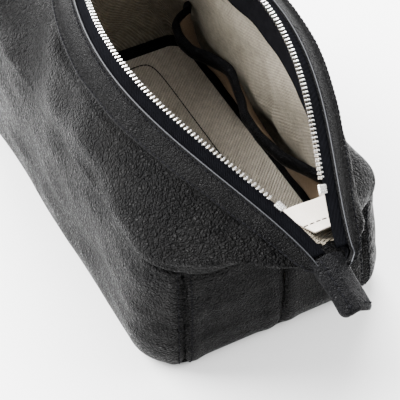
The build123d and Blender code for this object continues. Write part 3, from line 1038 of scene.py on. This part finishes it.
def tab_grid(length, width, thick, side, lean):
    """A tab from its root at the origin out along X, as rings round it."""
    s = np.linspace(0, 1, 60)
    around = np.linspace(0, 2 * np.pi, 72, endpoint=False)
    x = s * length
    tip = np.clip((x - (length - TIP_CORNER)) / TIP_CORNER, 0, 1)
    half_w = (width / 2) * (1 - 0.05 * np.sin(s * np.pi))
    half_w = half_w - TIP_CORNER * (1 - np.sqrt(np.maximum(1 - tip**2, 0)))
    tip_t = np.clip((x - (length - TIP_EDGE)) / TIP_EDGE, 0, 1)
    half_t = (thick / 2) * (1 - 0.25 * smooth(x, 4, 20))
    half_t = half_t * np.sqrt(np.maximum(1 - 0.92 * tip_t**2, 0.02))
    y = half_w[:, None] * flattened(np.cos(around), TAB_SQUARE)[None, :]
    z = half_t[:, None] * flattened(np.sin(around), TAB_SQUARE)[None, :]
    ridge = 2.3 - 0.38 * np.abs(y - 0.8 + 1.6 * s[:, None]) - 0.25 * np.clip(y, 0, None)
    z = z + ridge * (0.75 + 0.25 * s[:, None])
    xg = x[:, None] * np.ones_like(y)
    wave = 0.35 * ripple(np.stack([xg, y, z * 0.2], -1), 16.0, 31)
    z = z + wave
    z = z - 2.6 + lean * y
    bend = 0.0016 * xg**2
    gx = xg * math.cos(TAB_DROOP) + z * math.sin(TAB_DROOP)
    gz = -xg * math.sin(TAB_DROOP) + z * math.cos(TAB_DROOP) - bend
    return np.stack([side * gx, y, gz], -1)


TAB_ROOT = MOUTH_LENGTH - 6.0
right_z, left_z = float(crest(TAB_ROOT)), float(crest(-TAB_ROOT))
right_tab = tab_grid(31.0, 17.2, 4.6, 1, 0.03) + np.array([TAB_ROOT, -3.4, right_z + 1.4])
left_tab = tab_grid(37.0, 19.0, 4.2, -1, 0.0) + np.array([-TAB_ROOT, 0, left_z - 0.6])
for side, grid in (("right", right_tab), ("left", left_tab)):
    tab = closed_tube(f"end_tab_leather_{side}", grid, smooth_black)
    finish_piece(tab, "bag", "smooth_leather", f"end_tab_{side}")

# %% [markdown]
# Inside, the floor is a canvas covered board with a stitched line round it. A rounded leather binding
# runs round its edge and covers the seam with the walls.

# %% Floor of the bag
def rounded_sheet(name, hx, hy, r, z, thick, relief, finish):
    """A level sheet with rounded corners, hx by hy from its middle, with its top at z."""
    nx, ny = 130, 84
    b = np.linspace(-1, 1, ny)
    b = np.sign(b) * (1 - (1 - np.abs(b)) ** 1.3)
    y = hy * b
    over = np.clip(np.abs(y) - (hy - r), 0, r)
    reach = hx - r + np.sqrt(np.maximum(r**2 - over**2, 0))
    x = np.linspace(-1, 1, nx)[:, None] * reach[None, :]
    yy = np.ones((nx, 1)) * y[None, :]
    top = np.stack([x, yy, np.full_like(x, z)], -1)
    top[..., 2] += relief * ripple(top, 50.0, 41)
    top = settled(top)
    low = top - np.array([0, 0, thick])
    return shell(name, top, low, finish)


floor_cloth = rounded_sheet("floor_canvas", 108.0, 60.0, 19.0, 4.0, 0.8, 0.15, canvas)
finish_piece(floor_cloth, "bag", "canvas", "lining_base")
base_sheet = rounded_sheet("base_leather", 109.5, 62.0, 19.0, 1.75, 1.7, 0.0, pebbled)
finish_piece(base_sheet, "bag", "pebbled_leather", "base_panel")


def full_loop(grow, z):
    """A whole rounded rectangle, from its front half and the mirror of it."""
    half = box_ring(z, grow)
    other = half[::-1][1:-1] * np.array([1, -1, 1])
    return np.concatenate([half, other])


def loop_sweep(name, offsets, finish):
    grid = np.stack([full_loop(grow, z) for grow, z in offsets], 1)
    wobble = ripple(grid, 40.0, 51) * 0.35
    grid[..., 2] += np.where(grid[..., 2] > 5, wobble, 0)
    grid = settled(grid)
    nu, nv = grid.shape[:2]
    index = np.arange(nu * nv).reshape(nu, nv)
    faces = []
    nxt = np.roll(index, -1, axis=0)
    for j in range(nv):
        k = (j + 1) % nv
        faces += np.stack([index[:, j], nxt[:, j], nxt[:, k], index[:, k]], -1).tolist()
    return outwards(new_object(name, grid.reshape(-1, 3), faces, finish))


trim_profile = [(-5.6, 4.3), (-5.2, 6.0), (-5.6, 7.6), (-6.8, 8.3), (-8.8, 7.9)]
trim_profile += [(-10.6, 6.9), (-11.8, 5.8), (-12.2, 4.9), (-11.9, 4.3)]
binding_loop = loop_sweep("floor_binding", trim_profile, smooth_black)
finish_piece(binding_loop, "bag", "smooth_leather", "base_trim")

# %% [markdown]
# The slip pocket stands on the back wall. Its brown leather face leans away from the canvas at the top,
# where a soft black binding finishes the edge and waves in and out.

# %% Slip pocket
POCKET_HALF, POCKET_LOW, POCKET_TOP = 84.0, 10.0, 50.0
TOP_LINE_X = [-84, -76, -60, -49, -43.5, -36, -27, -10, 8, 26, 46, 58, 66, 76, 84]
TOP_LINE_Y = [57, 37, 33.5, 35.5, 40, 44, 47, 42.8, 36.7, 35.2, 38.5, 45.4, 49.5, 54.5, 58]


def wall_y(z):
    """How far the inside of the wall stands from the middle at a height, before it settles."""
    inner = BASE_WIDTH / 2 - LEATHER - LINING
    low = inner - FOOT_INSET + (FOOT_INSET + BELLY) * (z - 4.1) / (BELLY_Z - 4.1)
    high = inner + BELLY * (1 - (z - BELLY_Z) / (BOX_TOP - BELLY_Z))
    return np.where(z < BELLY_Z, low, high)


def pocket_face(x, z):
    """The pocket's face, from a straight foot at the floor to the waving line of its top."""
    share = np.clip((z - POCKET_LOW) / (POCKET_TOP - POCKET_LOW), 0, 1.05)
    x = np.asarray(x, float)
    smoothed = sum(np.interp(x + d, TOP_LINE_X, TOP_LINE_Y) for d in (-3, -1, 1, 3)) / 4
    foot = wall_y(np.full_like(x, POCKET_LOW)) - 2.0
    wall = wall_y(z) * (1 - back_lean(x) * smooth(z, 0.0, 30.0)) - 2.5
    return np.minimum(foot + (smoothed - foot) * share**1.1, wall)


px = np.linspace(-POCKET_HALF, POCKET_HALF, 150)
pz = np.linspace(POCKET_LOW, POCKET_TOP - 5.5, 50)
gx, gz = np.meshgrid(px, pz, indexing="ij")
gy = pocket_face(gx, gz) + 0.5 * ripple(np.stack([gx, 0 * gx, gz], -1), 26.0, 61)
front_face = np.stack([gx, gy - 1.0, gz], -1)
back_face = front_face + np.array([0, 1.0, 0])
face = shell("pocket_face_leather", front_face, back_face, tan_leather)
finish_piece(face, "bag", "tan_leather", "pocket_panel")

binding_profile = [(0.2, -7.6), (-1.8, -7.2), (-2.9, -5.4), (-3.3, -3.2), (-3.1, -1.2), (-2.2, 0.4)]
binding_profile += [(-0.7, 1.1), (0.7, 0.8), (1.3, -0.8), (1.2, -3.0), (0.9, -7.0)]
bx = np.linspace(-POCKET_HALF, POCKET_HALF, 200)
top_line = POCKET_TOP - 1.0 + 1.0 * np.sin(bx / 19.0)
by = pocket_face(bx, np.full_like(bx, POCKET_TOP))
binding = np.stack([np.stack([bx, by + a, top_line + b], -1) for a, b in binding_profile], 1)
binding[..., 1] += 0.35 * ripple(binding, 18.0, 71)
pocket_edge = closed_tube("pocket_binding_leather", binding, smooth_black)
finish_piece(pocket_edge, "bag", "smooth_leather", "pocket_binding")

# %% [markdown]
# A pale leather facing is sewn across the lining where the mouth ends. One line of stitches holds it
# near its outer end, so its free end stands up a little towards the opening.

# %% End facing
FACING_START, FACING_LENGTH, FACING_WIDTH, FACING_THICK = 112.5, 26.0, 26.0, 1.2
roof_line = body_surface(0)[0][-1][levels > 4.0]
fs, ft = np.meshgrid(np.linspace(0, 1, 36), np.linspace(0, 1, 60), indexing="ij")
fx = FACING_START + FACING_LENGTH * fs
narrow = 1 - 0.42 * fs
fy = 9.5 + (ft - 0.5) * FACING_WIDTH * narrow - 2.0 * fs
facing_ends = (FACING_START, FACING_START + FACING_LENGTH)
low_z, high_z = (float(np.interp(x, roof_line[:, 0], roof_line[:, 2])) for x in facing_ends)
fz = (low_z + 8.5) * (1 - fs) + (high_z + 4.2) * fs
fz = fz - 1.2 * np.sin(np.pi * fs) + 0.5 * np.sin(ft * 6.0) * (1 - fs)
facing = np.stack([fx, fy, fz], -1)
facing_top = facing + np.array([0, 0, FACING_THICK])
flap = shell("end_facing_leather", facing_top, facing, cream_leather)
finish_piece(flap, "bag", "cream_leather", "end_facing")

# %% [markdown]
# Hardware at the far end of the zip keeps the shapes worked out in the frame, because they are hard and
# exact. The leather pull is soft, so it is drawn again with rounded edges and a waist at its loop.

# %% Slider, puller and pull
for node in ("slider_body", "slider_bridge", "puller", "pull_rivet", "bottom_stop"):
    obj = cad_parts[node]
    obj.data.materials.clear()
    obj.data.materials.append(nickel)
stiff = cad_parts["base_stiffener"]
stiff.data.materials.clear()
stiff.data.materials.append(board_card)


def softened(name, node, voxel, rounds, finish):
    """A soft copy of a node: the same place and size, with its edges rolled over and its faces uneven."""
    obj = bpy.data.objects.new(name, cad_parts[node].data.copy())
    bpy.context.collection.objects.link(obj)
    fine = obj.modifiers.new("fine", "REMESH")
    fine.mode = "VOXEL"
    fine.voxel_size = voxel
    roll = obj.modifiers.new("roll", "SMOOTH")
    roll.factor, roll.iterations = 0.5, rounds
    mesh = bpy.data.meshes.new_from_object(obj.evaluated_get(bpy.context.evaluated_depsgraph_get()))
    obj.modifiers.clear()
    obj.data = mesh
    co = np.array([v.co for v in mesh.vertices]) * 1000
    no = np.array([v.normal for v in mesh.vertices])
    co = (co + no * (0.12 + 0.14 * ripple(co, 9.0, 81))[:, None]) * 0.001
    mesh.vertices.foreach_set("co", co.astype(np.float32).ravel())
    mesh.materials.clear()
    mesh.materials.append(finish)
    mesh.shade_smooth()
    return obj


pull_leather = softened("leather_pull_strap", "leather_pull", 0.0004, 6, smooth_black)
finish_piece(pull_leather, "leather_pull", "smooth_leather", "leather_pull")

# %% [markdown]
# Stitches are short rounded lengths of thread. One is drawn and set along each sewn line by the same
# tree as the teeth, with a little unevenness in size.

# %% Stitches
def thread_piece(length, radius):
    angles = np.linspace(0, 2 * np.pi, 6, endpoint=False)
    sections = []
    for k, r in ((-0.5, 0.35), (-0.36, 0.95), (0.0, 1.0), (0.36, 0.95), (0.5, 0.35)):
        z = k * length
        sections.append([(radius * r * math.cos(a), radius * r * math.sin(a), z) for a in angles])
    return lofted("stitch", sections, black_thread, True)


stitch = thread_piece(2.2, 0.34)


def sewn(name, lines, pitch=STITCH_PITCH, finish=black_thread):
    rows = []
    for k, line in enumerate(lines):
        rows.append(set_along(f"{name}_{k}", line, stitch, pitch, finish, 0.0, 0.12, k + 3))
    return finish_piece(merged(name, rows), "bag", "smooth_leather")


def band_line(share, height):
    """A line along the band, at a share of its width and a height off its surface."""
    low, high = band_edges
    line = low + (high - low) * share + band_up * height
    return line[8:-8]


band_rows = []
for share, height in ((0.04, 2.75), (0.85, 1.3)):
    line = band_line(share, height)
    band_rows += [line, back_half(line)]
sewn("stitches_zip_bands", band_rows)

around = np.linspace(0, 2 * np.pi, 240)
line_x, line_y = 93.0 * flattened(np.cos(around), 0.16), 29.8 * flattened(np.sin(around), 0.16)
floor_line = np.stack([line_x, line_y, np.full(240, 4.55)], -1)
sewn("stitches_floor", [floor_line], FLOOR_STITCH_PITCH)


def tab_line(points, grid):
    """Lays a line given as (along, across) on top of a tab."""
    out = []
    for s, y in points:
        row = grid[int(round(s * (grid.shape[0] - 1)))]
        upper = row[row[:, 2] > np.median(row[:, 2])]
        k = np.argmin(np.abs(upper[:, 1] - y))
        out.append(upper[k] + np.array([0, 0, 0.15]))
    return np.array(out)


seam_rows = []
for flip, seed in ((False, 0), (True, 3)):
    grid, n = body_surface(seed)
    lifted = grid + n * 0.12
    upright, over_seam = slice(8, SEAM_ROW - 1), SEAM_ROW + 3
    lines = [lifted[k, upright] for k in (SEAM_RIGHT + 3, SEAM_RIGHT - 3, SEAM_LEFT - 3)]
    lines += [lifted[SEAM_RIGHT + 1 : -2, over_seam], lifted[2:SEAM_LEFT, over_seam]]
    for line in lines:
        seam_rows.append(settled(back_half(line) if flip else line))
sewn("stitches_seams", seam_rows)

tab_rows = []
for grid in (right_tab, left_tab):
    tab_rows.append(tab_line([(s, -7.2) for s in np.linspace(0.08, 0.9, 24)], grid))
    tab_rows.append(tab_line([(0.9, y) for y in np.linspace(-7.2, 5.5, 10)], grid))
sewn("stitches_tabs", tab_rows)

facing_line = facing[24, 3:-3] + np.array([0, 0, 1.35])
sewn("stitches_facing", [facing_line], STITCH_PITCH, brown_thread)
bpy.data.objects.remove(stitch)

# %% [markdown]
# The studio: a pale floor, a strong soft light at the upper left, a second one behind, weaker ones in
# front and at the right, and a camera at the height and turn of the photograph. Black leather shows its
# shape mostly by what it mirrors, so the lights are large.

# %% Floor, lights and camera
floor_mat, floor_tree, floor_shader, floor_place = material("studio_floor", 0.7)
floor_tint = noise_node(floor_tree, floor_place, 3.0, 1.0, 0.5)
floor_colour = colour_mix(floor_tree, floor_tint, (0.93, 0.93, 0.93), (0.95, 0.95, 0.95))
floor_tree.links.new(floor_colour, floor_shader.inputs["Base Color"])
FLOOR_REACH = 4000
floor_corners = [(x * FLOOR_REACH, y * FLOOR_REACH, 0) for x, y in ((-1, -1), (1, -1), (1, 1), (-1, 1))]
floor = new_object("studio_floor", floor_corners, [[0, 1, 2, 3]], floor_mat)


def softbox(name, place, target, size, power):
    light = bpy.data.lights.new(name, "AREA")
    light.shape = "RECTANGLE"
    light.size, light.size_y = size
    light.energy = power
    obj = bpy.data.objects.new(name, light)
    bpy.context.collection.objects.link(obj)
    obj.location = place
    obj.rotation_euler = (Vector(target) - Vector(place)).to_track_quat("-Z", "Y").to_euler()


softbox("softbox_back_left", (-1.1, 0.5, 1.2), (0, 0, 0.05), (1.0, 1.0), 130)
softbox("softbox_front", (0.2, -1.5, 0.9), (0, 0, 0.05), (1.2, 0.8), 16)
softbox("softbox_upper_left", (-1.15, -1.1, 1.15), (0, 0, 0.1), (1.4, 1.4), 250)
softbox("softbox_right", (0.6, 1.3, 0.8), (0.05, 0, 0.08), (1.0, 0.7), 45)
world = bpy.data.worlds.new("studio")
world.use_nodes = True
world.node_tree.nodes["Background"].inputs["Color"].default_value = (1.0, 1.0, 1.0, 1)
world.node_tree.nodes["Background"].inputs["Strength"].default_value = 1.15
bpy.context.scene.world = world

FILM_WIDTH, FOCAL_PX, PHOTO_PX, CAMERA_DISTANCE = 36.0, 1700.0, 400.0, 880.0
CAMERA_TURN, CAMERA_HEIGHT = math.radians(62.0), math.radians(48.0)
BASE_END_RIGHT_PX, BASE_END_DOWN_PX = 80, 128
camera_data = bpy.data.cameras.new("camera")
camera_data.sensor_width = FILM_WIDTH
camera_data.lens = FOCAL_PX / PHOTO_PX * FILM_WIDTH
camera_data.clip_end = 20.0
camera = bpy.data.objects.new("camera", camera_data)
bpy.context.collection.objects.link(camera)
level_x = math.sin(CAMERA_TURN) * math.cos(CAMERA_HEIGHT)
level_y = -math.cos(CAMERA_TURN) * math.cos(CAMERA_HEIGHT)
backwards = np.array([level_x, level_y, math.sin(CAMERA_HEIGHT)])
rightwards = np.array([math.cos(CAMERA_TURN), math.sin(CAMERA_TURN), 0.0])
upwards = np.cross(backwards, rightwards)
ray = BASE_END_RIGHT_PX / FOCAL_PX * rightwards - BASE_END_DOWN_PX / FOCAL_PX * upwards - backwards
camera.location = Vector((np.array([BASE_LENGTH / 2, 0, 0]) - ray * CAMERA_DISTANCE) * 0.001)
camera.rotation_euler = (Vector(-backwards)).to_track_quat("-Z", "Y").to_euler()
bpy.context.scene.camera = camera
print("camera at", [round(c, 4) for c in camera.location])
